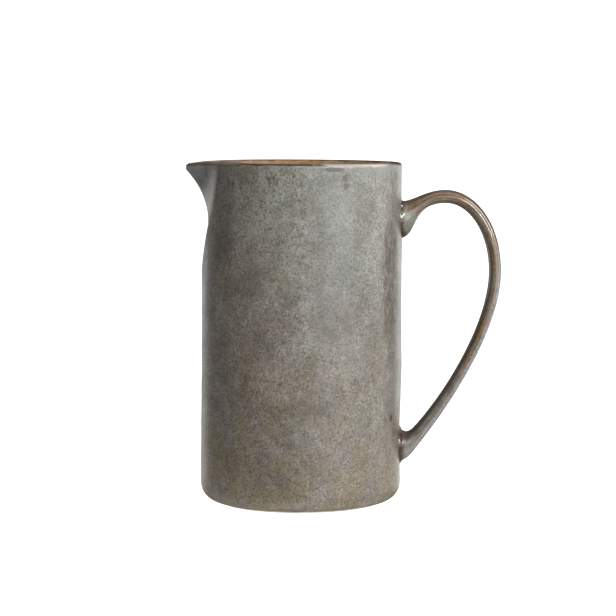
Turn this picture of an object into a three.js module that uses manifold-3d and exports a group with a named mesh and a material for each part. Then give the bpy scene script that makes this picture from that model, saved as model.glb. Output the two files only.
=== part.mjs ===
// A stoneware jug: a straight cylinder with a drawn-out pouring spout and an ear-shaped strap handle.
// Millimetres, +Z up. The origin is the middle of the standing face, on the axis of the body.
// The spout points along -X and the handle along +X.
// Each mesh is one clay piece, or the slip that lutes two of them together.

import * as THREE from "three";
import { mergeVertices } from "three/addons/utils/BufferGeometryUtils.js";
import Module from "manifold-3d";

const wasm = await Module();
wasm.setup();

// Body
const HEIGHT = 202; // standing face to the crest of the rim
const BODY_RADIUS = 59.3; // outside of the cylinder
const WALL = 5; // wall thickness
const LIP = 4; // wall thickness at the rim, where the edge is rounded
const LIP_TAPER = 24; // height over which the wall thins to the lip

// Base
const CORNER_RADIUS = 10.5; // outside rounding between wall and base
const FOOT_INSET = 1; // the standing face ends this far inside the rounding
const FOOT_HEIGHT = 1.1; // step from the standing face up to the rounding
const FOOT_BEVEL = 0.5; // softened edge of the standing face
const FLOOR = 7; // thickness of the base slab above the foot step
const COIL = 6; // height and width of the coil in the inside corner
const COIL_EDGE = 0.8; // thickness that the coil feathers out to

// Spout
const DRAW_IN = 9.6; // how far the throat is drawn in from the cylinder, at the rim
const DRAW_DEPTH = 72; // depth below the rim where the wall is round again
const SPOUT_REACH = 26; // how far the sides of the spout run out from the throat, at the rim
const SPOUT_DEPTH = 44.5; // depth below the rim where the ridge under the spout fades out
const SIDE_START = 0.35; // slope of each side at the shoulder, as a share of its mean slope
const TIP_ROUNDING = 1.8; // degrees of the tip, seen from the axis, that are rounded off
const TIP_DROP = 1.8; // how far the pouring edge dips below the rim
const TIP_DROP_SHARE = 0.5; // share of the way out to the tip over which the edge dips
const SHOULDER_BLEND = 2.4; // rounding between the cylinder and the side of the spout
const NOTCH_DEPTH = 70; // depth of the V cut in the wall that takes the spout
const NOTCH_HALF_WIDTH = 36; // half the width of that cut at the rim

// Handle: reaches are measured from the outside of the wall, drops from the crest of the rim
const HANDLE_REACH = 59.6; // to the outermost point of the loop
const HANDLE_DROP = 64.8; // to the height of that point
const CROWN_REACH = 26.3; // to the highest point of the loop
const CROWN_DROP = 16.6; // to the height of that point
const CROWN_THICKNESS = 7.9; // strap thickness at the highest point
const BULGE_THICKNESS = 7.5; // strap thickness at the outermost point
const UPPER_ROOT_DROP = 23.1; // to the top of the upper root
const UPPER_ROOT_HEIGHT = 22.1; // of the root, down the wall
const LOWER_ROOT_FOOT = 23.8; // standing face to the bottom of the lower root
const LOWER_ROOT_HEIGHT = 19.4; // of the root, up the wall
const HEEL_LENGTH = 7.5; // distance from the wall over which the tail turns up into the lower root
const STRAP_WIDTH = 17; // across the strap near the upper root
const STRAP_WIDTH_LOW = 14; // across the strap near the lower root
const ROOT_SPREAD = 3; // extra half width of each root where it meets the wall
const ROOT_LENGTH = 24; // length of strap over which the root spreads
const SECTION_POWER = 0.95; // 1 makes the strap's section an ellipse, less makes it an oblong

// How far each outline of the strap runs on along its end directions before it bends,
// and how far it turns up next to the wall at the lower root
const OUTER_BEND = { root: [6.8, -0.6], crown: 12.1, bulge: 35.8, heel: [27.2, 32.3], turn: 3.4 };
const INNER_BEND = { root: [10.8, 2.5], crown: 20.7, bulge: 38.4, heel: [13.3, 9.1], turn: 6.3 };

// Luted joints
const SLIP = 1; // thickness of the slip between two pieces
const SLIP_BEAD = 1.6; // how far the slip squeezes out round a handle root
const CLEARANCE = 0.3; // gap between faces that are curved or slanted

// Fineness of the facets
const ROUND_STEPS = 60; // round a full circle
const SPOUT_STEPS = 15; // from the middle of the spout to plain cylinder
const SPOUT_MARGIN = 10; // degrees past the shoulder where plain cylinder begins
const TIP_CROWDING = 1.4; // power that crowds those steps towards the tip
const DRAWN_STEPS = 11; // up the drawn-in part of the wall
const RIM_CROWDING = 1.5; // power that crowds those steps towards the rim
const LIP_STEPS = 4; // over the half round of the lip
const CORNER_STEPS = 7; // up the rounded edge of the base slab
const HOLLOW_STEPS = 5; // round the hollow of the coil
const STRAP_SIDES = 16; // round the section of the strap
const RISE_STEPS = 7; // along the strap from the upper root to the crown
const CROWN_STEPS = 9; // from the crown to the outermost point
const TAIL_STEPS = 16; // from the outermost point to the lower root
const HEEL_CROWDING = 1.5; // power that crowds those steps towards the wall

// Finishes
const GLAZE = { color: 0x8c8a80, roughness: 0.45, metalness: 0 };
const HANDLE_GLAZE = { color: 0x7d7566, roughness: 0.35, metalness: 0 };
const BARE_CLAY = { color: 0xd9c7ae, roughness: 0.85, metalness: 0 };
const SLIP_CLAY = { color: 0x6f5d4c, roughness: 0.6, metalness: 0 };

// Values that follow from the sizes above
const INNER_RADIUS = BODY_RADIUS - WALL;
const CORNER_CENTRE_RADIUS = BODY_RADIUS - CORNER_RADIUS;
const CORNER_TOP = FOOT_HEIGHT + CORNER_RADIUS;
const SLAB_TOP = FOOT_HEIGHT + FLOOR;
const WALL_BOTTOM = SLAB_TOP + SLIP;
const LIP_START = HEIGHT - LIP / 2;
const PAD_RADIUS = BODY_RADIUS + CLEARANCE;
const HANDLE_SEAT_RADIUS = PAD_RADIUS + SLIP + CLEARANCE;

const { degToRad, lerp, smoothstep } = THREE.MathUtils;

// Turns a shape drawn in (y, z) and extruded into one that runs along +X.
const ALONG_X = new THREE.Matrix4().makeBasis(
  new THREE.Vector3(0, 1, 0),
  new THREE.Vector3(0, 0, 1),
  new THREE.Vector3(1, 0, 0),
);

// Solids and meshes

// A closed geometry as a solid that can be cut and joined: vertices merged, collapsed triangles left out.
function solid(geometry) {
  const bare = new THREE.BufferGeometry();
  bare.setAttribute("position", geometry.getAttribute("position").clone());
  bare.setIndex(geometry.index ? geometry.index.clone() : null);
  const merged = mergeVertices(bare);
  const corners = Array.from(merged.index.array);
  const kept = [];
  for (let i = 0; i < corners.length; i += 3) {
    const triangle = corners.slice(i, i + 3);
    if (new Set(triangle).size === 3) kept.push(...triangle);
  }
  const vertProperties = new Float32Array(merged.getAttribute("position").array);
  return new wasm.Manifold(new wasm.Mesh({ numProp: 3, vertProperties, triVerts: new Uint32Array(kept) }));
}

function mesh(name, body, look) {
  const { vertProperties, triVerts } = body.getMesh();
  const geometry = new THREE.BufferGeometry();
  geometry.setAttribute("position", new THREE.BufferAttribute(new Float32Array(vertProperties), 3));
  geometry.setIndex(new THREE.BufferAttribute(new Uint32Array(triVerts), 1));
  geometry.computeVertexNormals();
  const made = new THREE.Mesh(geometry, new THREE.MeshStandardMaterial(look));
  made.name = name;
  return made;
}

// A skin over a row of rings of points. The row closes on itself, or has a flat cap at each end.
function loft(rings, closes) {
  const sides = rings[0].length;
  const index = [];
  const spans = closes ? rings.length : rings.length - 1;
  for (let row = 0; row < spans; row++) {
    const next = (row + 1) % rings.length;
    for (let side = 0; side < sides; side++) {
      const turn = (side + 1) % sides;
      const [a, b] = [row * sides + side, row * sides + turn];
      const [c, d] = [next * sides + side, next * sides + turn];
      index.push(a, b, d, a, d, c);
    }
  }
  if (!closes) {
    const last = (rings.length - 1) * sides;
    for (let side = 1; side < sides - 1; side++) {
      index.push(0, side + 1, side);
      index.push(last, last + side, last + side + 1);
    }
  }
  return new THREE.BufferGeometry().setFromPoints(rings.flat()).setIndex(index);
}

// A profile of [radius, height] points turned about the axis of the body.
function turned(profile) {
  const points = profile.map(([radius, height]) => new THREE.Vector2(radius, height));
  return solid(new THREE.LatheGeometry(points, ROUND_STEPS).rotateX(Math.PI / 2));
}

// A round core as tall as the jug, used to cut what seats against the wall.
function core(radius) {
  return turned([
    [0, 0],
    [radius, 0],
    [radius, HEIGHT],
    [0, HEIGHT],
  ]);
}

// Base slab, its slip and the coil in the inside corner

// Outside radius of the wall and base at a height, where the body is round.
function roundedRadius(height) {
  const below = Math.max(0, CORNER_TOP - height);
  return CORNER_CENTRE_RADIUS + Math.sqrt(CORNER_RADIUS ** 2 - below ** 2);
}

function baseSlab() {
  const footRadius = CORNER_CENTRE_RADIUS - FOOT_INSET;
  const edge = Array.from({ length: CORNER_STEPS + 1 }, (_, i) => {
    const height = FOOT_HEIGHT + FLOOR * (i / CORNER_STEPS) ** 2;
    return [roundedRadius(height), height];
  });
  return turned([
    [0, 0],
    [footRadius - FOOT_BEVEL, 0],
    [footRadius, FOOT_BEVEL],
    [footRadius, FOOT_HEIGHT],
    ...edge,
    [0, SLAB_TOP],
  ]);
}

function baseSlip() {
  return turned([
    [INNER_RADIUS, SLAB_TOP],
    [roundedRadius(SLAB_TOP), SLAB_TOP],
    [roundedRadius(WALL_BOTTOM), WALL_BOTTOM],
    [INNER_RADIUS, WALL_BOTTOM],
    [INNER_RADIUS, SLAB_TOP],
  ]);
}

// Flat against the floor and the wall, hollow towards the inside of the jug.
function floorCoil() {
  const outside = INNER_RADIUS - CLEARANCE;
  const hollow = Array.from({ length: HOLLOW_STEPS + 1 }, (_, i) => {
    const angle = (Math.PI / 2) * (i / HOLLOW_STEPS);
    const size = COIL - COIL_EDGE;
    return [outside - COIL + size * Math.cos(angle), SLAB_TOP + COIL - size * Math.sin(angle)];
  });
  return turned([
    [outside - COIL, SLAB_TOP],
    [outside, SLAB_TOP],
    [outside, SLAB_TOP + COIL],
    ...hollow,
    [outside - COIL, SLAB_TOP],
  ]);
}

// Wall and spout: one drawn-out form, parted along the V cut

const fade = (distance, length) => Math.max(0, 1 - distance / length) ** 2;
const rounded = (a, b, blend) => Math.max(0, blend - Math.abs(a - b)) ** 2 / (4 * blend);
const smoothMin = (a, b, blend) => Math.min(a, b) - rounded(a, b, blend);

// Distance from the axis to a side of the spout, at an angle from the middle of the spout.
// In plan the side is an arc, hollow towards the outside, from the shoulder of the cylinder to the tip.
function spoutSide(angle, throat, reach, inset) {
  const shoulder = Math.sqrt(BODY_RADIUS ** 2 - throat ** 2);
  const slope = Math.atan2(reach, shoulder);
  const [across, out] = [Math.cos(slope * SIDE_START), Math.sin(slope * SIDE_START)];
  const bend = Math.hypot(reach, shoulder) / (2 * Math.sin(slope * (1 - SIDE_START)));
  const centre = new THREE.Vector2(throat + bend * across, shoulder + bend * out);
  const along = centre.x * Math.cos(angle) + centre.y * Math.sin(angle);
  const clear = BODY_RADIUS ** 2 - inset ** 2 + 2 * bend * (throat * across + shoulder * out - inset);
  return along ** 2 > clear ? clear / (along + Math.sqrt(along ** 2 - clear)) : Infinity;
}

// The wall in plan: the throat flattens the cylinder, and the spout stands out of the flat.
// Cylinder, flat and spout all move in by the inset, so the inside runs parallel to the outside.
function outlineRadius(angle, depth, inset) {
  const round = BODY_RADIUS - inset;
  if (depth >= DRAW_DEPTH || Math.abs(angle) >= Math.PI / 2) return round;
  const drawn = 1 - smoothstep(depth, 0, DRAW_DEPTH);
  const throat = BODY_RADIUS - DRAW_IN * drawn;
  const reach = SPOUT_REACH * fade(depth, SPOUT_DEPTH);
  const bent = Math.hypot(angle, degToRad(TIP_ROUNDING));
  const side = reach > 0 ? spoutSide(bent, throat, reach, inset) : (throat - inset) / Math.cos(angle);
  if (Math.abs(angle) < Math.acos(throat / BODY_RADIUS) / 2) return side;
  return smoothMin(round, side, SHOULDER_BLEND * drawn);
}

// Angles round the wall, closest together at the tip of the spout.
function wallAngles() {
  const shoulder = Math.acos((BODY_RADIUS - DRAW_IN) / BODY_RADIUS);
  const span = shoulder + degToRad(SPOUT_MARGIN);
  const half = [];
  for (let i = 0; i < SPOUT_STEPS; i++) half.push(span * (i / SPOUT_STEPS) ** TIP_CROWDING);
  const restSteps = Math.round((ROUND_STEPS * (Math.PI - span)) / (2 * Math.PI));
  for (let i = 0; i < restSteps; i++) half.push(lerp(span, Math.PI, i / restSteps));
  const otherHalf = half.slice(1).reverse();
  return [...half, Math.PI, ...otherHalf.map((angle) => -angle)];
}

// A ring of the wall at a height, moved in from the outside.
// The lip stands straight up, and the pouring edge dips with its reach beyond the cylinder.
function wallRing(angles, height, inset) {
  const depth = Math.max(HEIGHT - height, LIP);
  return angles.map((angle) => {
    const radius = outlineRadius(angle, depth, inset) - BODY_RADIUS + roundedRadius(height);
    const reached = Math.max(0, outlineRadius(angle, depth, 0) - BODY_RADIUS) / SPOUT_REACH;
    const dip = TIP_DROP * Math.min(1, reached / TIP_DROP_SHARE) * fade(depth, SPOUT_DEPTH);
    return new THREE.Vector3(-Math.cos(angle) * radius, -Math.sin(angle) * radius, height - dip);
  });
}

const wallThickness = (height) => lerp(WALL, LIP, smoothstep(height, LIP_START - LIP_TAPER, LIP_START));

function wallAndSpout() {
  const angles = wallAngles();
  const roundTop = HEIGHT - DRAW_DEPTH;
  const curveTop = Math.max(CORNER_TOP, WALL_BOTTOM + SLIP);
  const drawn = Array.from({ length: DRAWN_STEPS + 1 }, (_, i) =>
    lerp(roundTop, LIP_START, 1 - (1 - i / DRAWN_STEPS) ** RIM_CROWDING),
  );
  const outside = [WALL_BOTTOM, lerp(WALL_BOTTOM, curveTop, 0.5), curveTop, ...drawn];
  const lip = Array.from({ length: LIP_STEPS - 1 }, (_, i) => {
    const angle = (Math.PI * (i + 1)) / LIP_STEPS;
    return wallRing(angles, LIP_START + (LIP / 2) * Math.sin(angle), (LIP / 2) * (1 - Math.cos(angle)));
  });
  const foot = angles.map((angle) => {
    const [x, y] = [-Math.cos(angle), -Math.sin(angle)];
    return new THREE.Vector3(x * INNER_RADIUS, y * INNER_RADIUS, WALL_BOTTOM);
  });
  return solid(
    loft(
      [
        ...outside.map((height) => wallRing(angles, height, 0)),
        ...lip,
        ...drawn.reverse().map((height) => wallRing(angles, height, wallThickness(height))),
        foot,
      ],
      true,
    ),
  );
}

// A V-shaped prism through the wall on the spout's side, moved in from the edges of the cut.
function notchPrism(inset) {
  const slope = NOTCH_HALF_WIDTH / NOTCH_DEPTH;
  const apex = HEIGHT - NOTCH_DEPTH + inset * Math.hypot(1, 1 / slope);
  const top = HEIGHT + LIP;
  const shape = new THREE.Shape([
    new THREE.Vector2(0, apex),
    new THREE.Vector2((top - apex) * slope, top),
    new THREE.Vector2((apex - top) * slope, top),
  ]);
  const depth = BODY_RADIUS + SPOUT_REACH;
  const prism = new THREE.ExtrudeGeometry(shape, { depth, bevelEnabled: false });
  return solid(prism.applyMatrix4(ALONG_X).translate(-depth, 0, 0));
}

// Handle: a strap between an outer and an inner outline, with a rounded section

// Points along an outline: wall to crown, crown to bulge, bulge to wall.
function strapOutline(upper, crown, bulge, lower, bend) {
  const upperRoot = new THREE.Vector2(BODY_RADIUS, upper);
  const lowerRoot = new THREE.Vector2(BODY_RADIUS, lower - bend.turn);
  const rise = new THREE.CubicBezierCurve(
    upperRoot,
    upperRoot.clone().add(new THREE.Vector2(...bend.root)),
    crown.clone().add(new THREE.Vector2(-bend.crown, 0)),
    crown,
  );
  const over = new THREE.EllipseCurve(
    crown.x,
    bulge.y,
    bulge.x - crown.x,
    crown.y - bulge.y,
    Math.PI / 2,
    0,
    true,
  );
  const tail = new THREE.CubicBezierCurve(
    bulge,
    bulge.clone().add(new THREE.Vector2(0, -bend.bulge)),
    lowerRoot.clone().add(new THREE.Vector2(...bend.heel)),
    lowerRoot,
  );
  const heel = Array.from({ length: TAIL_STEPS }, (_, i) => {
    const point = tail.getPoint(1 - (1 - (i + 1) / TAIL_STEPS) ** HEEL_CROWDING);
    return point.setY(point.y + bend.turn * fade(point.x - BODY_RADIUS, HEEL_LENGTH));
  });
  return [...rise.getPoints(RISE_STEPS), ...over.getPoints(CROWN_STEPS).slice(1), ...heel];
}

// Points round the strap's section, which is a rounded oblong: across from -1 to 1, wide from -1 to 1.
function sectionPoints() {
  const oblong = (value) => Math.sign(value) * Math.abs(value) ** SECTION_POWER;
  return Array.from({ length: STRAP_SIDES }, (_, i) => {
    const angle = (2 * Math.PI * i) / STRAP_SIDES;
    return { across: oblong(Math.cos(angle)), wide: oblong(Math.sin(angle)) };
  });
}

function strapRing(outer, inner, halfWidth) {
  const middle = outer.clone().lerp(inner, 0.5);
  const half = outer.clone().sub(middle);
  return sectionPoints().map(({ across, wide }) => {
    return new THREE.Vector3(middle.x + half.x * across, -halfWidth * wide, middle.y + half.y * across);
  });
}

const UPPER_TOP = HEIGHT - UPPER_ROOT_DROP;
const UPPER_BOTTOM = UPPER_TOP - UPPER_ROOT_HEIGHT;
const LOWER_TOP = LOWER_ROOT_FOOT + LOWER_ROOT_HEIGHT;

function handleStrap() {
  const crown = new THREE.Vector2(BODY_RADIUS + CROWN_REACH, HEIGHT - CROWN_DROP);
  const bulge = new THREE.Vector2(BODY_RADIUS + HANDLE_REACH, HEIGHT - HANDLE_DROP);
  const innerCrown = crown.clone().add(new THREE.Vector2(0, -CROWN_THICKNESS));
  const innerBulge = bulge.clone().add(new THREE.Vector2(-BULGE_THICKNESS, 0));
  const outer = strapOutline(UPPER_TOP, crown, bulge, LOWER_ROOT_FOOT, OUTER_BEND);
  const inner = strapOutline(UPPER_BOTTOM, innerCrown, innerBulge, LOWER_TOP, INNER_BEND);
  const pairs = outer.map((point, i) => [point, inner[i]]);
  // Each end runs on into the wall, so that the seat cuts through the whole section.
  const sunk = (pair) => pair.map((point) => point.clone().add(new THREE.Vector2(-WALL, 0)));
  const run = [sunk(pairs[0]), ...pairs, sunk(pairs[pairs.length - 1])];
  const middles = run.map(([a, b]) => a.clone().lerp(b, 0.5));
  const travelled = [0];
  for (let i = 1; i < middles.length; i++) {
    travelled.push(travelled[i - 1] + middles[i].distanceTo(middles[i - 1]));
  }
  const length = travelled[travelled.length - 1];
  const rings = run.map(([a, b], i) => {
    const strap = lerp(STRAP_WIDTH, STRAP_WIDTH_LOW, travelled[i] / length) / 2;
    const fromEnd = Math.max(0, Math.min(travelled[i], length - travelled[i]) - WALL);
    return strapRing(a, b, strap + ROOT_SPREAD * fade(fromEnd, ROOT_LENGTH));
  });
  return solid(loft(rings, false)).subtract(core(HANDLE_SEAT_RADIUS));
}

// A curved pad of slip between the wall and a handle root, a bead wider than the root all round.
function slipPad(top, bottom, strapWidth) {
  const halfHeight = (top - bottom) / 2 + SLIP_BEAD;
  const halfWidth = strapWidth / 2 + ROOT_SPREAD + SLIP_BEAD;
  const middle = (top + bottom) / 2;
  const outline = sectionPoints().map(
    ({ across, wide }) => new THREE.Vector2(halfWidth * across, middle + halfHeight * wide),
  );
  const depth = BODY_RADIUS + WALL;
  const plug = new THREE.ExtrudeGeometry(new THREE.Shape(outline), { depth, bevelEnabled: false });
  const shell = core(PAD_RADIUS + SLIP).subtract(core(PAD_RADIUS));
  return shell.intersect(solid(plug.applyMatrix4(ALONG_X)));
}

// The jug

const vessel = wallAndSpout();
const seam = notchPrism(CLEARANCE).subtract(notchPrism(CLEARANCE + SLIP));

const body = new THREE.Group();
body.add(mesh("base", baseSlab(), BARE_CLAY));
body.add(mesh("base_slip_joint", baseSlip(), SLIP_CLAY));
body.add(mesh("floor_coil", floorCoil(), GLAZE));
body.add(mesh("body_wall", vessel.subtract(notchPrism(0)), GLAZE));

const pouringSpout = new THREE.Group();
pouringSpout.add(mesh("spout", vessel.intersect(notchPrism(2 * CLEARANCE + SLIP)), GLAZE));
pouringSpout.add(mesh("spout_slip_seam", vessel.intersect(seam), SLIP_CLAY));

const strapHandle = new THREE.Group();
strapHandle.add(mesh("handle", handleStrap(), HANDLE_GLAZE));
strapHandle.add(mesh("upper_slip_joint", slipPad(UPPER_TOP, UPPER_BOTTOM, STRAP_WIDTH), SLIP_CLAY));
strapHandle.add(mesh("lower_slip_joint", slipPad(LOWER_TOP, LOWER_ROOT_FOOT, STRAP_WIDTH_LOW), SLIP_CLAY));

const jug = new THREE.Group();
jug.name = "jug";
jug.add(body, pouringSpout, strapHandle);

export default jug;
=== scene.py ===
"""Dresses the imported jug: a hand-shaped stoneware body, spout and strap handle under a speckled glaze.

Shapes are worked out in millimetres and made in metres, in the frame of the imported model.
The spout points along -X, the handle along +X, and the camera looks along +Y.
"""

import math

import bpy
import numpy as np
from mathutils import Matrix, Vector


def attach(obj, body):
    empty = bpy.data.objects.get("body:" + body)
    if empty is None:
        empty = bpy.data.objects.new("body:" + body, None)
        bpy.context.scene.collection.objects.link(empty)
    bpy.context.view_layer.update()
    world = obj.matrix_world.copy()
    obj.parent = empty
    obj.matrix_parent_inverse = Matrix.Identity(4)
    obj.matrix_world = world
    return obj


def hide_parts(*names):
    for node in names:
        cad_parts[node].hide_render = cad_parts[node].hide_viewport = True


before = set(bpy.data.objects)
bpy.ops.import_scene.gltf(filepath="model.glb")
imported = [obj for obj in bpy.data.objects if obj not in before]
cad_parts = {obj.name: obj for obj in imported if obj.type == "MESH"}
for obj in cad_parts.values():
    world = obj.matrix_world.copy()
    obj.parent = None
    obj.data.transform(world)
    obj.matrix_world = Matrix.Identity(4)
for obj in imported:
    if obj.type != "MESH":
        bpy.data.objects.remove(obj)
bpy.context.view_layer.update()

MM = 0.001
TINY = 1e-9

# Body and base, in millimetres
HEIGHT = 202.0
BODY_RADIUS = 59.3
WALL = 5.0
LIP = 4.0
LIP_TAPER = 24.0
CORNER_RADIUS = 10.5
FOOT_INSET = 1.0
FOOT_HEIGHT = 1.1
FOOT_BEVEL = 0.5
FLOOR = 7.0
COVE = 6.0

# Throat and spout
DRAW_IN = 9.6
DRAW_DEPTH = 72.0
SPOUT_REACH = 26.0
SPOUT_DEPTH = 44.5
SIDE_START = 0.35
TIP_ROUNDING = math.radians(1.8)
TIP_DROP = 1.8
TIP_DROP_SHARE = 0.5
SHOULDER_BLEND = 2.4

# Handle: reaches are measured from the wall, drops from the rim
HANDLE_REACH = 59.6
HANDLE_DROP = 64.8
CROWN_REACH = 26.3
CROWN_DROP = 16.6
CROWN_THICKNESS = 7.9
BULGE_THICKNESS = 7.5
UPPER_ROOT_DROP = 23.1
UPPER_ROOT_HEIGHT = 22.1
LOWER_ROOT_FOOT = 23.8
LOWER_ROOT_HEIGHT = 19.4
HEEL_LENGTH = 7.5
STRAP_WIDTH = 17.0
STRAP_WIDTH_LOW = 14.0
ROOT_SPREAD = 3.0
ROOT_LENGTH = 24.0
ROOT_FILLET = 1.7
ROOT_SINK = 3.0
SECTION_POWER = 0.95
OUTER_BEND = {"root": (6.8, -0.6), "crown": 12.1, "bulge": 35.8, "heel": (27.2, 32.3), "turn": 3.4}
INNER_BEND = {"root": (10.8, 2.5), "crown": 20.7, "bulge": 38.4, "heel": (13.3, 9.1), "turn": 6.3}

# Unevenness of handwork
LEAN = 0.8
LEAN_LOW = 40.0
LEAN_HIGH = 85.0
RIM_TILT = 0.35
WAVE = 0.12
WAVE_LENGTH = 74.0
RIPPLE = 0.05
RIPPLE_LENGTH = 23.0
STRAP_WAVE = 0.18

# Inside glaze: a thin coat that begins a little below the rim
COAT_START = 9.0
COAT = 0.25
COAT_SINK = 0.6

# Marks in the glaze: degrees round from the handle, height, half width and half height of each
PURPLE_RUN = (72.0, 198.9, 7.5, 1.5)
DRIP = (64.5, 194.2, 2.0, 2.8)
LOWER_DRIP = (64.2, 189.4, 1.8, 2.4)
UPPER_STAIN = (0.0, 170.0, 20.0, 16.0)
LOWER_STAIN = (0.0, 45.5, 25.0, 9.0)
DARK_DOT = (26.6, 53.1, 2.0, 3.0)
CLEAR_PATCH = (101.7, 76.0, 17.0, 14.0)
DARK_PATCH = (87.0, 61.5, 21.0, 6.5)
OLIVE_PATCH = (121.5, 73.0, 9.0, 13.0)
PALE_PATCH = (48.0, 56.0, 15.0, 15.0)
MARK_EDGE = 6.0

# Steps of the meshes, and how far they crowd towards one end
SPOUT_STEPS = 80
ROUND_STEPS = 92
SPOUT_CROWDING = 1.4
SPOUT_MARGIN = math.radians(10)
CORNER_STEPS = 24
PLAIN_STEPS = 60
DRAWN_STEPS = 70
LIP_STEPS = 20
INSIDE_STEPS = 90
COVE_STEPS = 14
COAT_SPOUT_STEPS = 60
COAT_ROUND_STEPS = 70
FOOT_STEPS = 180
BEVEL_STEPS = 7
RISE_STEPS = 70
CROWN_STEPS = 80
TAIL_STEPS = 110
TAIL_CROWDING = 1.5
SECTION_STEPS = 56

# Values that follow from the sizes above
CORNER_CENTRE_RADIUS = BODY_RADIUS - CORNER_RADIUS
CORNER_TOP = FOOT_HEIGHT + CORNER_RADIUS
FOOT_RADIUS = CORNER_CENTRE_RADIUS - FOOT_INSET
FLOOR_TOP = FOOT_HEIGHT + FLOOR
LIP_START = HEIGHT - LIP / 2
UPPER_TOP = HEIGHT - UPPER_ROOT_DROP
UPPER_BOTTOM = UPPER_TOP - UPPER_ROOT_HEIGHT
LOWER_TOP = LOWER_ROOT_FOOT + LOWER_ROOT_HEIGHT


# Curves

def smoothstep(value, low, high):
    share = np.clip((value - low) / (high - low), 0, 1)
    return share * share * (3 - 2 * share)


def fade(distance, length):
    return np.clip(1 - distance / length, 0, None) ** 2


def rounded(a, b, blend):
    return np.clip(blend - np.abs(a - b), 0, None) ** 2 / (4 * np.maximum(blend, TINY))


def smooth_min(a, b, blend):
    return np.minimum(a, b) - rounded(a, b, blend)


def mix(a, b, share):
    return a + (b - a) * share


# Wall

def spout_side(angle, throat, reach, inset):
    """Distance from the axis to a side of the spout: an arc in plan, from the shoulder to the tip."""
    shoulder = np.sqrt(BODY_RADIUS**2 - throat**2)
    slope = np.arctan2(reach, shoulder)
    across, out = np.cos(slope * SIDE_START), np.sin(slope * SIDE_START)
    bend = np.hypot(reach, shoulder) / (2 * np.sin(slope * (1 - SIDE_START)))
    along = (throat + bend * across) * np.cos(angle) + (shoulder + bend * out) * np.sin(angle)
    along = np.maximum(along, TINY)
    clear = BODY_RADIUS**2 - inset**2 + 2 * bend * (throat * across + shoulder * out - inset)
    beyond = np.clip(along**2 - clear, 0, None)
    return np.where(beyond > 0, clear / (along + np.sqrt(beyond)), 2 * BODY_RADIUS)


def outline_radius(angle, depth, inset):
    """Wall in plan: distance from the axis at an angle from the spout's middle, moved in by an inset."""
    if depth >= DRAW_DEPTH:
        return np.full_like(angle, BODY_RADIUS - inset)
    drawn = 1 - smoothstep(depth, 0, DRAW_DEPTH)
    throat = BODY_RADIUS - DRAW_IN * drawn
    reach = SPOUT_REACH * fade(depth, SPOUT_DEPTH)
    if reach > 0:
        side = spout_side(np.hypot(angle, TIP_ROUNDING), throat, reach, inset)
    else:
        side = (throat - inset) / np.maximum(np.cos(angle), TINY)
    met = smooth_min(BODY_RADIUS - inset, side, SHOULDER_BLEND * drawn)
    return np.where(np.abs(angle) < math.acos(throat / BODY_RADIUS) / 2, side, met)


def rounded_radius(height):
    below = np.clip(CORNER_TOP - height, 0, CORNER_RADIUS)
    return CORNER_CENTRE_RADIUS + np.sqrt(CORNER_RADIUS**2 - below**2)


def unevenness(angle, height):
    """How far the hand-shaped wall stands out of true, fading towards the foot and the rim."""
    wave = WAVE * np.sin(2 * math.pi * height / WAVE_LENGTH + np.sin(angle) + np.cos(2 * angle))
    ripple = RIPPLE * np.sin(2 * math.pi * height / RIPPLE_LENGTH + 2 * np.sin(angle + 1))
    settled = smoothstep(height, FOOT_HEIGHT, 2 * CORNER_TOP) * smoothstep(HEIGHT - height, LIP, 4 * LIP)
    return (wave + ripple) * settled


def lean(height):
    return LEAN * (smoothstep(height, LEAN_LOW, LEAN_HIGH) - 0.5)


def wall_ring(angles, height, inset):
    """One ring of the wall at a height, with the dip of the pouring edge, and the lean and tilt by hand."""
    depth = max(HEIGHT - height, LIP)
    grown = rounded_radius(height) - BODY_RADIUS + unevenness(angles, height)
    radius = outline_radius(angles, depth, inset) + grown
    reached = np.clip(outline_radius(angles, depth, 0) - BODY_RADIUS, 0, None) / SPOUT_REACH
    dip = TIP_DROP * np.minimum(1, reached / TIP_DROP_SHARE) * fade(depth, SPOUT_DEPTH)
    x = -np.cos(angles) * radius
    tilt = RIM_TILT * (x / BODY_RADIUS) * (height / HEIGHT) ** 2
    return np.column_stack([x + lean(height), -np.sin(angles) * radius, height - dip - tilt])


def level_ring(angles, radius, height):
    x = -np.cos(angles) * radius + lean(height)
    return np.column_stack([x, -np.sin(angles) * radius, np.full_like(angles, height)])


def wall_angles(spout_steps, rest_steps):
    """Angles round the wall, closest together at the tip of the spout."""
    span = math.acos((BODY_RADIUS - DRAW_IN) / BODY_RADIUS) + SPOUT_MARGIN
    near = span * (np.arange(spout_steps) / spout_steps) ** SPOUT_CROWDING
    rest = np.linspace(span, math.pi, rest_steps, endpoint=False)
    half = np.concatenate([near, rest])
    return np.concatenate([half, [math.pi], -half[:0:-1]])


def wall_thickness(height):
    return mix(WALL, LIP, smoothstep(height, LIP_START - LIP_TAPER, LIP_START))


def inside_rings(angles, top, shift):
    """The inside from a height down to the floor, moved out of the clay by a shift."""
    rings = []
    for height in np.linspace(top, FLOOR_TOP + COVE, INSIDE_STEPS):
        rings.append(wall_ring(angles, height, wall_thickness(height) + shift))
    for turn in np.linspace(0, math.pi / 2, COVE_STEPS)[1:]:
        radius = BODY_RADIUS - WALL - shift - COVE * (1 - math.cos(turn))
        rings.append(level_ring(angles, radius, FLOOR_TOP + shift + COVE * (1 - math.sin(turn))))
    return rings


# Meshes

def place_in_scene(name, data):
    made = bpy.data.objects.new(name, data)
    bpy.context.scene.collection.objects.link(made)
    return made


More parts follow.
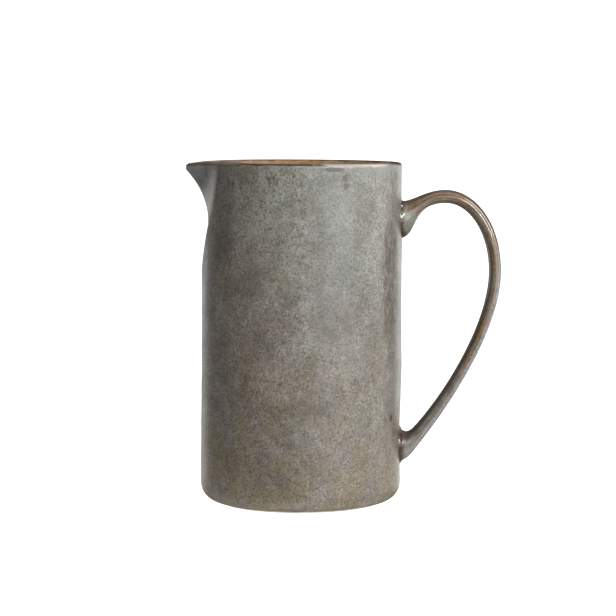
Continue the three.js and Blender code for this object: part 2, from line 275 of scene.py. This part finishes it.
def skin(name, rings, attributes):
    """A closed mesh over a row of rings, each end closed to its middle point."""
    count = len(rings[0])
    points = np.concatenate([*rings, [rings[0].mean(0)], [rings[-1].mean(0)]])
    first, last = len(rings) * count, len(rings) * count + 1
    faces = []
    for row in range(len(rings) - 1):
        for side in range(count):
            turn = (side + 1) % count
            low, high = row * count, (row + 1) * count
            faces.append((low + side, low + turn, high + turn, high + side))
    end = (len(rings) - 1) * count
    for side in range(count):
        turn = (side + 1) % count
        faces.append((first, turn, side))
        faces.append((last, end + side, end + turn))
    mesh = bpy.data.meshes.new(name)
    mesh.from_pydata((points * MM).tolist(), [], faces)
    for label, rows in attributes.items():
        values = np.concatenate([np.broadcast_to(row, count) for row in rows])
        values = np.concatenate([values, [values[0], values[-1]]])
        layer = mesh.attributes.new(label, "FLOAT", "POINT")
        layer.data.foreach_set("value", values.astype(np.float32))
    mesh.shade_smooth()
    return place_in_scene(name, mesh)


def glazed_body():
    """Underside, rounded corner, wall, lip and inside in one skin.

    Each ring carries its distance below the crest of the rim, negative on the inside.
    """
    angles = wall_angles(SPOUT_STEPS, ROUND_STEPS)
    rings = [level_ring(angles, CORNER_CENTRE_RADIUS, FOOT_HEIGHT)]
    crest = [HEIGHT]
    corner = FOOT_HEIGHT + CORNER_RADIUS * (1 - np.cos(np.linspace(0, math.pi / 2, CORNER_STEPS)))
    plain = np.linspace(CORNER_TOP, HEIGHT - DRAW_DEPTH, PLAIN_STEPS)
    drawn = np.linspace(HEIGHT - DRAW_DEPTH, LIP_START, DRAWN_STEPS)
    for height in np.concatenate([corner[1:], plain[1:], drawn[1:]]):
        rings.append(wall_ring(angles, height, 0))
        crest.append(HEIGHT - height)
    for turn in np.linspace(0, math.pi, LIP_STEPS)[1:-1]:
        height = LIP_START + LIP / 2 * math.sin(turn)
        rings.append(wall_ring(angles, height, LIP / 2 * (1 - math.cos(turn))))
        crest.append(LIP / 2 * (1 - math.sin(turn)) * np.sign(math.cos(turn)))
    inside = inside_rings(angles, LIP_START, 0)
    rings += inside
    crest += [ring[:, 2].max() - HEIGHT for ring in inside]
    return skin("glazed_body", rings, {"crest": crest})


def glazed_inside():
    """The coat inside, a closed skin from the floor up to its edge and back down within the clay."""
    angles = wall_angles(COAT_SPOUT_STEPS, COAT_ROUND_STEPS)
    front = inside_rings(angles, HEIGHT - COAT_START, COAT)
    back = inside_rings(angles, HEIGHT - COAT_START + COAT, -COAT_SINK)
    return skin("glazed_inside", back[::-1] + front, {})


def bare_foot():
    """The round of bare clay that the jug stands on, with a rounded lower edge."""
    angles = np.linspace(0, 2 * math.pi, FOOT_STEPS, endpoint=False)
    profile = [(FOOT_RADIUS - FOOT_BEVEL, 0.0)]
    for turn in np.linspace(0, math.pi / 2, BEVEL_STEPS)[1:]:
        out = FOOT_RADIUS - FOOT_BEVEL * (1 - math.sin(turn))
        profile.append((out, FOOT_BEVEL * (1 - math.cos(turn))))
    profile.append((FOOT_RADIUS, FOOT_HEIGHT + FOOT_BEVEL))
    rings = [level_ring(-angles, radius, height) for radius, height in profile]
    return skin("bare_foot", rings, {})


def bezier(a, b, c, d, share):
    share = share[:, None]
    rest = 1 - share
    return rest**3 * a + 3 * rest**2 * share * b + 3 * rest * share**2 * c + share**3 * d


def strap_outline(upper, crown, bulge, lower, bend):
    """One outline of the strap: wall to crown, crown to bulge, bulge to wall, as (x, z) points."""
    upper_root = np.array([BODY_RADIUS, upper])
    lower_root = np.array([BODY_RADIUS, lower - bend["turn"]])
    share = np.linspace(0, 1, RISE_STEPS)
    rise = bezier(upper_root, upper_root + bend["root"], crown - [bend["crown"], 0], crown, share)
    turn = np.linspace(math.pi / 2, 0, CROWN_STEPS)
    over = np.column_stack([
        crown[0] + (bulge[0] - crown[0]) * np.cos(turn),
        bulge[1] + (crown[1] - bulge[1]) * np.sin(turn),
    ])
    share = 1 - np.linspace(1, 0, TAIL_STEPS) ** TAIL_CROWDING
    tail = bezier(bulge, bulge - [0, bend["bulge"]], lower_root + bend["heel"], lower_root, share)
    tail[:, 1] += bend["turn"] * fade(tail[:, 0] - BODY_RADIUS, HEEL_LENGTH)
    return np.concatenate([rise, over[1:], tail[1:]])


def oblong(value):
    return np.sign(value) * np.abs(value) ** SECTION_POWER


def glazed_handle():
    """The strap, its ends sunk into the wall.

    Each point carries its distance from both ends, and its place from the inner side, -1, to the outer, 1.
    """
    crown = np.array([BODY_RADIUS + CROWN_REACH, HEIGHT - CROWN_DROP])
    bulge = np.array([BODY_RADIUS + HANDLE_REACH, HEIGHT - HANDLE_DROP])
    outer = strap_outline(UPPER_TOP, crown, bulge, LOWER_ROOT_FOOT, OUTER_BEND)
    inner = strap_outline(
        UPPER_BOTTOM, crown - [0, CROWN_THICKNESS], bulge - [BULGE_THICKNESS, 0], LOWER_TOP, INNER_BEND
    )
    sink = np.array([ROOT_SINK, 0])
    outer = np.concatenate([[outer[0] - sink], outer, [outer[-1] - sink]])
    inner = np.concatenate([[inner[0] - sink], inner, [inner[-1] - sink]])
    middle = (outer + inner) / 2
    steps = np.linalg.norm(np.diff(middle, axis=0), axis=1)
    travelled = np.concatenate([[0], np.cumsum(steps)])
    from_end = np.clip(np.minimum(travelled, travelled[-1] - travelled) - ROOT_SINK, 0, None)
    half_width = mix(STRAP_WIDTH, STRAP_WIDTH_LOW, travelled / travelled[-1]) / 2
    half_width = half_width + ROOT_SPREAD * fade(from_end, ROOT_LENGTH)
    half_width = half_width + STRAP_WAVE * np.sin(travelled / STRAP_WIDTH)
    turn = np.linspace(0, 2 * math.pi, SECTION_STEPS, endpoint=False)
    across = oblong(np.cos(turn))
    wide = oblong(np.sin(turn))
    rings = []
    for index in range(len(outer)):
        half = outer[index] - middle[index]
        x = middle[index][0] + half[0] * across
        z = middle[index][1] + half[1] * across
        y = -half_width[index] * wide
        # Close to the wall the section spreads in a fillet
        distance = np.clip(np.hypot(x, y) - BODY_RADIUS, 0, ROOT_FILLET)
        spread = ROOT_FILLET - np.sqrt(ROOT_FILLET**2 - (ROOT_FILLET - distance) ** 2)
        outward = np.column_stack([y, z - middle[index][1]])
        outward /= np.linalg.norm(outward, axis=1, keepdims=True) + TINY
        rings.append(np.column_stack([x, y + outward[:, 0] * spread, z + outward[:, 1] * spread]))
    attributes = {
        "from_top": travelled - ROOT_SINK,
        "from_foot": travelled[-1] - travelled - ROOT_SINK,
        "outer": [across for _ in rings],
    }
    return skin("glazed_handle", rings, attributes)


# Materials

def paint(red, green, blue):
    """A display colour, 0 to 255, made linear by the sRGB curve."""
    linear = []
    for value in (red, green, blue):
        share = value / 255
        linear.append(share / 12.92 if share <= 0.04045 else ((share + 0.055) / 1.055) ** 2.4)
    return (*linear, 1.0)


class Finish:
    """A material whose nodes are made by short calls, each of which returns a socket."""

    def __init__(self, name):
        self.material = bpy.data.materials.new(name)
        self.material.use_nodes = True
        self.tree = self.material.node_tree
        self.surface = self.tree.nodes["Principled BSDF"]
        self.place = self.node("ShaderNodeTexCoord", {}, {}).outputs["Object"]

    def put(self, socket, value):
        if isinstance(value, bpy.types.NodeSocket):
            self.tree.links.new(value, socket)
        else:
            socket.default_value = value

    def node(self, kind, settings, inputs):
        made = self.tree.nodes.new(kind)
        for name, value in settings.items():
            setattr(made, name, value)
        for name, value in inputs.items():
            self.put(made.inputs[name], value)
        return made

    def math(self, operation, a, b=0.0):
        return self.node("ShaderNodeMath", {"operation": operation}, {0: a, 1: b}).outputs[0]

    def times(self, first, *others):
        for value in others:
            first = self.math("MULTIPLY", first, value)
        return first

    def plus(self, first, *others):
        for value in others:
            first = self.math("ADD", first, value)
        return first

    def minus(self, a, b):
        return self.math("SUBTRACT", a, b)

    def millimetres(self):
        """The place on the jug as x, y and z in millimetres."""
        split = self.node("ShaderNodeSeparateXYZ", {}, {0: self.place}).outputs
        return [self.times(split[axis], 1 / MM) for axis in "XYZ"]

    def attribute(self, name):
        return self.node("ShaderNodeAttribute", {"attribute_name": name}, {}).outputs["Fac"]

    def noise(self, size, detail=2.0, roughness=0.5, shift=(0, 0, 0), scale=(1, 1, 1)):
        """Noise with grains of a size in millimetres, moved by a shift and drawn out by a scale under 1."""
        settings = {"operation": "MULTIPLY_ADD"}
        moved = self.node("ShaderNodeVectorMath", settings, {0: self.place, 1: scale, 2: shift}).outputs[0]
        inputs = {"Vector": moved, "Scale": 1 / (size * MM), "Detail": detail, "Roughness": roughness}
        return self.node("ShaderNodeTexNoise", {}, inputs).outputs["Fac"]

    def dots(self, size):
        inputs = {"Vector": self.place, "Scale": 1 / (size * MM)}
        return self.node("ShaderNodeTexVoronoi", {}, inputs).outputs["Distance"]

    def span(self, value, low, high, to_low=0.0, to_high=1.0):
        """A smooth step from one level to another while a value goes from low to high."""
        inputs = {"Value": value, "From Min": low, "From Max": high, "To Min": to_low, "To Max": to_high}
        return self.node("ShaderNodeMapRange", {"interpolation_type": "SMOOTHSTEP"}, inputs).outputs["Result"]

    def fall(self, value, low, high):
        return self.span(value, low, high, 1.0, 0.0)

    def spread(self, noise, low, high):
        """A noise brought to a range of its own."""
        return self.span(noise, NOISE_LOW, NOISE_HIGH, low, high)

    def ragged(self, value, noise, amount):
        """A value pushed up and down by a noise."""
        return self.plus(value, self.spread(noise, -amount, amount))

    def mix(self, share, a, b):
        """One colour going over into another by a share."""
        made = self.tree.nodes.new("ShaderNodeMix")
        made.data_type = "RGBA"
        for socket, value in ((0, share), (6, a), (7, b)):
            self.put(made.inputs[socket], value)
        return made.outputs[2]

    def shade(self, color, value):
        return self.node("ShaderNodeHueSaturation", {}, {"Color": color, "Value": value}).outputs["Color"]

    def shade_where(self, color, share, value):
        return self.shade(color, self.span(share, 0.0, 1.0, 1.0, value))

    def bump(self, height, depth, strength):
        inputs = {"Height": height, "Distance": depth * MM, "Strength": strength}
        return self.node("ShaderNodeBump", {}, inputs).outputs["Normal"]

    def finish(self, color, roughness, normal):
        self.put(self.surface.inputs["Base Color"], color)
        self.put(self.surface.inputs["Roughness"], roughness)
        self.put(self.surface.inputs["Normal"], normal)
        return self.material


# Most of a noise lies between these values
NOISE_LOW = 0.3
NOISE_HIGH = 0.7

# Depth of the glaze's grain in millimetres, and how strongly it shows
GLAZE_GRAIN = (0.08, 0.35)
STRAP_GRAIN = (0.05, 0.15)
CLAY_GRAIN = (0.15, 0.6)

GREY_GREEN = paint(151, 152, 143)
GREY_BLUE = paint(140, 146, 147)
TAUPE = paint(141, 132, 122)
OLIVE = paint(134, 123, 98)
IRON = paint(74, 64, 56)
STREAK = paint(116, 102, 86)
PURPLE = paint(76, 66, 72)
RED_BROWN = paint(72, 52, 42)
RIM_TAN = paint(184, 132, 78)
RIM_CREAM_AND_HIGHLIGHT = paint(186, 173, 160)
RIM_UMBER = paint(186, 155, 120)
RIM_OLIVE = paint(58, 44, 30)
RIM_BROWN = paint(112, 82, 54)
RIM_DARK = paint(74, 56, 42)
RIM_LINE = paint(56, 38, 24)
STRAP_BROWN = paint(146, 121, 92)
STRAP_DARK = paint(98, 82, 66)
STRAP_GREY = paint(142, 138, 126)
STRAP_SAGE = paint(122, 123, 113)
STRAP_LILAC_PAINTED_LIGHT = paint(168, 162, 160)
CLAY = paint(246, 238, 224)
CLAY_DARK = paint(228, 214, 192)


def speckled(finish, color, amount):
    """Fine mottling of the glaze: pale flecks, dark grains and scattered iron specks."""
    grain = finish.noise(1.2, 1.5, 0.6)
    fleck = finish.noise(1.0, 1.0, 0.5, shift=(0.5, 0.9, 0.2))
    mottle = finish.noise(5.0, 2.0, 0.6, shift=(0.1, 0.6, 0.3))
    dark = finish.times(finish.span(grain, 0.36, 0.52, 0.55, 0.0), amount)
    pale = finish.times(finish.span(fleck, 0.54, 0.7, 0.0, 0.45), amount)
    color = finish.shade(color, finish.spread(mottle, 0.86, 1.14))
    color = finish.mix(dark, color, IRON)
    color = finish.shade(color, finish.plus(pale, 1.0))
    specks = finish.times(finish.span(finish.dots(3.4), 0.1, 0.2, 0.7, 0.0), amount)
    specks = finish.times(specks, finish.span(mottle, 0.45, 0.6))
    return finish.mix(specks, color, RIM_DARK), grain


def mark(finish, outside, place):
    """Where a mark lies on the outside of the wall, as an oval with a ragged edge."""
    turn, height, share = outside
    degrees, middle, wide, tall = place
    across = finish.times(finish.minus(turn, math.radians(degrees)), BODY_RADIUS / wide)
    up = finish.times(finish.minus(height, middle), 1 / tall)
    far = finish.plus(finish.times(across, across), finish.times(up, up))
    far = finish.ragged(far, finish.noise(min(wide, MARK_EDGE)), 0.4)
    return finish.times(finish.fall(far, 0.2, 1.2), share)


def marked(finish, color, outside, place, amount, tint):
    return finish.mix(finish.times(mark(finish, outside, place), amount), color, tint)


def ground(finish, x, z, cloud, patch):
    """Grey-green glaze that goes over into taupe and olive towards the foot and the spout's side, with
    painted shade and light laid over it.
    """
    raised = finish.span(z, 10, 185, -0.24, 0.1)
    right = finish.span(x, -50, 10, -0.16, 0.04)
    color = finish.mix(finish.span(finish.plus(cloud, raised, right), 0.26, 0.7), TAUPE, GREY_GREEN)
    smudge = finish.noise(17, 3.0, 0.6, shift=(0.7, 0.3, 0.9))
    color = finish.shade(color, finish.span(smudge, 0.34, 0.6, 0.82, 1.04))
    # Painted shade: darker towards the foot
    color = finish.shade(color, finish.span(z, 8, 45, 0.84, 1.0))
    low = finish.plus(patch, finish.span(z, 10, 90, 0.1, -0.06))
    color = finish.mix(finish.span(low, 0.46, 0.7, 0.0, 0.7), color, OLIVE)
    # Painted shade over the upper middle, and painted light down the lower edge on the spout's side, with
    # painted shade higher up that edge
    upper = finish.times(finish.span(x, 0, 14), finish.span(z, 80, 115), finish.span(x, 26, 40, 1.0, 0.2))
    color = finish.shade_where(color, upper, 0.78)
    left_edge_painted_light_and_shade = finish.times(finish.fall(x, -57, -44), finish.span(z, 80, 110, 1.0, -0.6))
    return finish.shade(color, finish.plus(finish.times(left_edge_painted_light_and_shade, 0.26), 1.0))


def streaked_and_shaded(finish, color, turn, z, patch):
    """Streaks of browner glaze that run down beside the handle, half a radian round from it, over a darker
    band that is partly painted shade and reflection of the handle.
    """
    beside = finish.math("ABSOLUTE", finish.minus(finish.math("ABSOLUTE", turn), 0.5))
    streak = finish.noise(3.2, 3.0, 0.75, shift=(0.2, 0.4, 0.1), scale=(1, 1, 0.45))
    high = finish.ragged(z, patch, 15)
    # Painted shade of the handle, partly real brown glaze: a darker band down beside it
    band_and_painted_shade = finish.times(finish.span(high, 80, 115, 0.45, 1.0), finish.fall(beside, 0.06, 0.24))
    band_and_painted_shade = finish.times(band_and_painted_shade, finish.span(high, 140, 190, 1.0, 0.4), finish.span(z, 38, 52, 0.3, 1.0))
    color = finish.mix(finish.times(band_and_painted_shade, 0.6), color, STREAK)
    return finish.mix(finish.times(band_and_painted_shade, finish.span(streak, 0.42, 0.62, 0.0, 0.85)), color, IRON)


def veiled_shaded_and_lit(finish, color, x, z, crest, patch):
    """Speckle, a smooth bluish glaze under the rim on the handle side and on the spout, and painted shade and
    light about the spout's fold.
    """
    veil = finish.ragged(crest, patch, 2.0)
    veil = finish.plus(veil, finish.span(x, 18, 38, 3.5, 0.0), finish.span(x, -60, -50, -9.0, 0.0))
    color, grain = speckled(finish, color, finish.span(veil, 2.5, 7.5))
    color = finish.mix(finish.span(veil, 2.0, 6.0, 0.5, 0.0), color, GREY_BLUE)
    # Painted shade on the wall beside the spout's fold, and painted light on the spout towards the tip
    fold_painted_shade = finish.times(finish.span(x, -52, -47), finish.fall(x, -43, -36), finish.span(z, 130, 155))
    color = finish.shade_where(color, fold_painted_shade, 0.74)
    tip = finish.times(finish.fall(x, -62, -53), finish.span(z, 178, 194))
    return finish.shade_where(color, tip, 1.35), grain


def rimmed(finish, color, x, y, crest, patch):
    """The rim breaks to brown: olive at the spout, tan over the middle, paler on the handle side, where the
    cream on the near side of the lip is partly lighter glaze and partly a painted highlight.
    """
    side = finish.ragged(x, patch, 6)
    pale = finish.span(side, 8, 16)
    drawn = finish.noise(2.2, 3.0, 0.7, shift=(0.8, 0.2, 0.4), scale=(0.45, 0.45, 1))
    lining = finish.mix(pale, RIM_TAN, RIM_UMBER)
    lining = finish.mix(finish.span(drawn, 0.36, 0.54, 0.35, 1.0), RIM_BROWN, lining)
    lining = finish.mix(finish.span(side, -50, -22), RIM_OLIVE, lining)
    line = finish.mix(finish.span(side, -44, -24), STREAK, RIM_LINE)
    # Painted highlight, partly lighter glaze: cream over the lip's outer edge on the near side
    pale_roll_and_highlight = finish.times(pale, finish.fall(y, -40, -20), finish.fall(side, 44, 52))
    line = finish.mix(finish.times(pale_roll_and_highlight, 0.95), line, RIM_CREAM_AND_HIGHLIGHT)
    # The line is broader at the spout, and the pale cream, partly a painted highlight, hangs down in soft
    # drips
    broad = finish.minus(crest, finish.span(side, -40, -26, 0.9, 0.0))
    hanging = finish.noise(6, 2.0, 0.6, shift=(0.1, 0.7, 0.2), scale=(1, 1, 0.2))
    broad = finish.minus(broad, finish.times(pale_roll_and_highlight, finish.span(hanging, 0.4, 0.7, 0.1, 1.2)))
    soft = finish.plus(finish.times(pale_roll_and_highlight, 0.7), 1.4)
    color = finish.mix(finish.fall(broad, 0.8, soft), color, line)
    return finish.mix(finish.fall(crest, -1.2, -0.4), color, lining)


def body_finish():
    finish = Finish("body_glaze")
    x, y, z = finish.millimetres()
    crest = finish.attribute("crest")
    turn = finish.math("ARCTAN2", finish.times(y, -1.0), x)
    outside = (turn, z, finish.span(crest, 0.2, 1.0))
    cloud = finish.noise(30, 4.0, 0.6)
    patch = finish.noise(13, 3.0, 0.6, shift=(0.3, 0.1, 0.7), scale=(1, 1, 0.8))
    color = ground(finish, x, z, cloud, patch)
    color = finish.shade_where(color, mark(finish, outside, CLEAR_PATCH), 1.26)
    color = finish.shade_where(color, mark(finish, outside, DARK_PATCH), 0.84)
    color = marked(finish, color, outside, OLIVE_PATCH, 0.35, STREAK)
    color = marked(finish, color, outside, PALE_PATCH, 0.5, GREY_GREEN)
    color = streaked_and_shaded(finish, color, turn, z, patch)
    # Short dark runs under the rim
    run = finish.noise(2.6, 2.0, 0.6, shift=(0.6, 0.1, 0.5), scale=(1, 1, 0.3))
    under = finish.times(finish.span(crest, 4.0, 7.0), finish.fall(crest, 10.0, 22.0))
    color = finish.mix(finish.times(under, finish.span(run, 0.56, 0.7, 0.0, 0.55)), color, IRON)
    color, grain = veiled_shaded_and_lit(finish, color, x, z, crest, patch)
    edge = finish.ragged(crest, finish.noise(9), 0.25)
    color = rimmed(finish, color, x, y, edge, patch)
    color = marked(finish, color, outside, PURPLE_RUN, 0.95, PURPLE)
    for drip in (DRIP, LOWER_DRIP):
        color = marked(finish, color, outside, drip, 0.85, RIM_DARK)
    for stain in (UPPER_STAIN, LOWER_STAIN):
        color = marked(finish, color, outside, stain, 0.55, RED_BROWN)
    color = marked(finish, color, outside, DARK_DOT, 1.0, RIM_LINE)
    roughness = finish.plus(finish.spread(cloud, 0.34, 0.46), finish.span(edge, -1.0, 0.4, 0.25, 0.0))
    return finish.finish(color, roughness, finish.bump(grain, *GLAZE_GRAIN))


def inside_finish():
    finish = Finish("inner_glaze")
    cloud = finish.noise(38, 4.0, 0.6)
    color = finish.mix(finish.span(cloud, 0.36, 0.64), TAUPE, GREY_GREEN)
    color, grain = speckled(finish, color, 0.8)
    return finish.finish(color, finish.spread(cloud, 0.3, 0.42), finish.bump(grain, *GLAZE_GRAIN))


def strap_ground(finish, cloud, across, top, foot):
    """Brown glaze drawn along the strap, sage towards its foot and darker close to it, grey inside and at the
    upper root, and painted light along the outer side of the tail.
    """
    inputs = {"X": finish.times(top, 0.03), "Y": finish.times(across, 2.4)}
    along = finish.node("ShaderNodeCombineXYZ", {}, inputs).outputs[0]
    inputs = {"Vector": along, "Scale": 1.6, "Detail": 3.0}
    run = finish.node("ShaderNodeTexNoise", {}, inputs).outputs["Fac"]
    color = finish.mix(finish.span(run, 0.36, 0.56), STRAP_DARK, STRAP_BROWN)
    tinge = finish.mix(finish.span(finish.noise(7, 2.0, 0.6), 0.4, 0.64, 0.0, 0.35), STRAP_SAGE, STRAP_BROWN)
    color = finish.mix(finish.span(finish.ragged(foot, cloud, 40.0), 50.0, 115.0, 0.9, 0.0), color, tinge)
    # Darker towards the foot
    color = finish.shade(color, finish.span(foot, 22.0, 40.0, 0.76, 1.0))
    inner = finish.ragged(across, cloud, 0.4)
    color = finish.mix(finish.span(inner, -0.7, -0.1, 0.8, 0.0), color, STRAP_GREY)
    padded = finish.plus(top, finish.times(across, 10.0))
    color = finish.mix(finish.span(padded, 4.0, 13.0, 0.9, 0.0), color, GREY_GREEN)
    # Painted light: the outer side of the strap paler along its tail
    light = finish.times(finish.span(across, -0.05, 0.5), finish.span(foot, 90.0, 160.0, 0.95, 0.0))
    return finish.mix(light, color, STRAP_LILAC_PAINTED_LIGHT)


def handle_finish():
    finish = Finish("handle_glaze")
    cloud = finish.noise(18, 3.0, 0.6)
    across = finish.attribute("outer")
    top = finish.attribute("from_top")
    foot = finish.attribute("from_foot")
    color, grain = speckled(finish, strap_ground(finish, cloud, across, top, foot), 0.6)
    # Painted shade and dark reflection along the edges: outside over the crown, inside along the tail
    crown = finish.times(finish.span(across, 0.5, 0.9), finish.span(foot, 60.0, 110.0, 0.0, 0.8))
    color = finish.mix(crown, color, RIM_DARK)
    tail = finish.times(finish.fall(across, -0.9, -0.2), finish.span(foot, 90.0, 200.0, 0.85, 0.2))
    color = finish.mix(tail, color, RIM_LINE)
    # Brown glaze pools at both roots, and most in the crook of the lower one
    pooled = finish.ragged(finish.math("MINIMUM", top, foot), cloud, 1.5)
    pooled = finish.math("MINIMUM", pooled, finish.plus(foot, finish.times(across, 9.0)))
    color = finish.mix(finish.span(pooled, 0.6, 3.4, 0.9, 0.0), color, RED_BROWN)
    roughness = finish.plus(finish.spread(cloud, 0.04, 0.09), finish.span(across, -0.95, -0.6, 0.4, 0.0))
    # Glaze is drier on the strap beside the lower pool
    dry = finish.times(finish.span(foot, 0.4, 1.4), finish.fall(foot, 8.0, 16.0))
    roughness = finish.plus(roughness, finish.times(dry, 0.35))
    return finish.finish(color, roughness, finish.bump(grain, *STRAP_GRAIN))


def clay_finish():
    finish = Finish("base_clay")
    grain = finish.noise(0.7, 3.0, 0.6)
    color = finish.mix(finish.span(finish.noise(8, 3.0), 0.35, 0.65), CLAY, CLAY_DARK)
    color = finish.shade(color, finish.spread(grain, 0.88, 1.1))
    return finish.finish(color, finish.spread(grain, 0.8, 0.95), finish.bump(grain, *CLAY_GRAIN))


def dress(piece, material, slot, *nodes):
    piece.data.materials.append(material)
    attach(piece, "root")
    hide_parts(*nodes)


dress(glazed_body(), body_finish(), "body_glaze", "body_wall", "spout", "spout_slip_seam", "base_slip_joint")
dress(glazed_inside(), inside_finish(), "inner_glaze", "floor_coil")
dress(glazed_handle(), handle_finish(), "handle_glaze", "handle", "upper_slip_joint", "lower_slip_joint")
dress(bare_foot(), clay_finish(), "base_clay", "base")


# Studio, in metres

FLOOR_RADIUS = 1.0
FLOOR_STEPS = 180
WHITE = (1, 1, 1, 1)
SHEET_WHITE = (0.8, 0.8, 0.8, 1)
SHEET_ROUGHNESS = 0.9
WORLD_STRENGTH = 0.2
BAR_CORNERS = [(0.43, -0.9, 0.7), (0.48, -0.9, 0.78), (1.07, -0.9, 0.38), (1.02, -0.9, 0.3)]
CAMERA_PLACE = (0.00416, -1.47, 0.23886)
CAMERA_TILT = math.radians(4.8078)
SENSOR_WIDTH = 36
LENS = 145.2


def sheet(name, corners, glow, faces=((0, 1, 2, 3),)):
    """A white sheet that glows a little itself, and throws no light on the jug."""
    mesh = bpy.data.meshes.new(name)
    mesh.from_pydata(corners, [], faces)
    material = bpy.data.materials.new(name)
    material.use_nodes = True
    surface = material.node_tree.nodes["Principled BSDF"].inputs
    surface["Base Color"].default_value = SHEET_WHITE
    surface["Roughness"].default_value = SHEET_ROUGHNESS
    surface["Emission Color"].default_value = WHITE
    surface["Emission Strength"].default_value = glow
    mesh.materials.append(material)
    made = place_in_scene(name, mesh)
    made.visible_diffuse = False
    return made


def reflector(name, corners, glow):
    """A sheet that is seen only as a reflection in the glaze."""
    sheet(name, corners, glow).visible_camera = False


def softbox(name, azimuth, distance, height, width, tall, radiance):
    """A soft light that faces the jug. Azimuth 0 is the camera's side and 90 the handle's."""
    light = bpy.data.lights.new(name, "AREA")
    light.shape = "RECTANGLE"
    light.size = width
    light.size_y = tall
    light.energy = radiance * math.pi * width * tall
    made = place_in_scene(name, light)
    turn = math.radians(azimuth)
    made.location = (distance * math.sin(turn), -distance * math.cos(turn), height)
    towards = Vector((0, 0, HEIGHT / 2 * MM)) - made.location
    made.rotation_euler = towards.to_track_quat("-Z", "Y").to_euler()
    return made


def upright(x, y, bottom, top, half_width):
    """Corners of a sheet that stands at a place and faces the jug."""
    across = Vector((-y, x, 0)).normalized() * half_width
    left = Vector((x, y, 0)) - across
    right = Vector((x, y, 0)) + across
    return [(*left.xy, bottom), (*right.xy, bottom), (*right.xy, top), (*left.xy, top)]


def level(half_width, height):
    near, far = -half_width, half_width
    return [(near, near, height), (far, near, height), (far, far, height), (near, far, height)]


def round_floor(inner, outer, steps):
    """Corners and faces of a level ring that begins where the standing face ends."""
    corners = []
    faces = []
    for step in range(steps):
        turn = 2 * math.pi * step / steps
        for radius in (inner, outer):
            corners.append((radius * math.cos(turn), radius * math.sin(turn), 0))
        near, far = 2 * step, (2 * step + 2) % (2 * steps)
        faces.append((near, near + 1, far + 1, far))
    return corners, faces


floor_corners, floor_faces = round_floor((FOOT_RADIUS - FOOT_BEVEL) * MM, FLOOR_RADIUS, FLOOR_STEPS)
floor = sheet("floor", floor_corners, glow=0.85, faces=floor_faces)
backdrop = sheet("backdrop", upright(x=0, y=1.7, bottom=-0.6, top=1.8, half_width=1.8), glow=1.1)
for white in (floor, backdrop):
    white.visible_glossy = False
reflector("left_wing", upright(x=-1.0, y=1.7, bottom=-0.5, top=0.22, half_width=0.45), glow=1.5)
reflector("right_wing", upright(x=1.0, y=1.7, bottom=-0.5, top=0.22, half_width=0.45), glow=1.9)
reflector("strip", upright(x=0.86, y=0.25, bottom=0.35, top=1.4, half_width=0.14), glow=10.0)
reflector("low_strip", upright(x=0.86, y=0.25, bottom=-0.1, top=0.35, half_width=0.14), glow=3.0)
reflector("bar", BAR_CORNERS, glow=95.0)
# Light thrown back up from the floor close round the foot
bounce = sheet("bounce", level(half_width=0.075, height=0.0001), glow=0.6)
bounce.visible_camera = False
bounce.visible_glossy = False
bounce.visible_diffuse = True

softbox("key", azimuth=38, distance=1.3, height=0.5, width=1.7, tall=1.3, radiance=2.9)
side_light = softbox("side", azimuth=106, distance=0.9, height=0.7, width=0.3, tall=1.2, radiance=4.0)
softbox("top", azimuth=0, distance=0.001, height=1.3, width=1.2, tall=1.2, radiance=0.8)
back_light = softbox("back", azimuth=185, distance=1.0, height=1.0, width=1.2, tall=0.7, radiance=1.6)
softbox("below", azimuth=0, distance=0.3, height=-0.9, width=0.8, tall=0.8, radiance=1.5)
for light in (side_light, back_light):
    light.visible_glossy = False

world = bpy.data.worlds.new("studio")
world.use_nodes = True
background = world.node_tree.nodes["Background"].inputs
background["Color"].default_value = WHITE
background["Strength"].default_value = WORLD_STRENGTH
bpy.context.scene.world = world
bpy.context.scene.view_settings.view_transform = "Standard"

camera = place_in_scene("camera", bpy.data.cameras.new("camera"))
camera.location = CAMERA_PLACE
camera.rotation_euler = (math.pi / 2 - CAMERA_TILT, 0, 0)
camera.data.sensor_width = SENSOR_WIDTH
camera.data.lens = LENS
bpy.context.scene.camera = camera
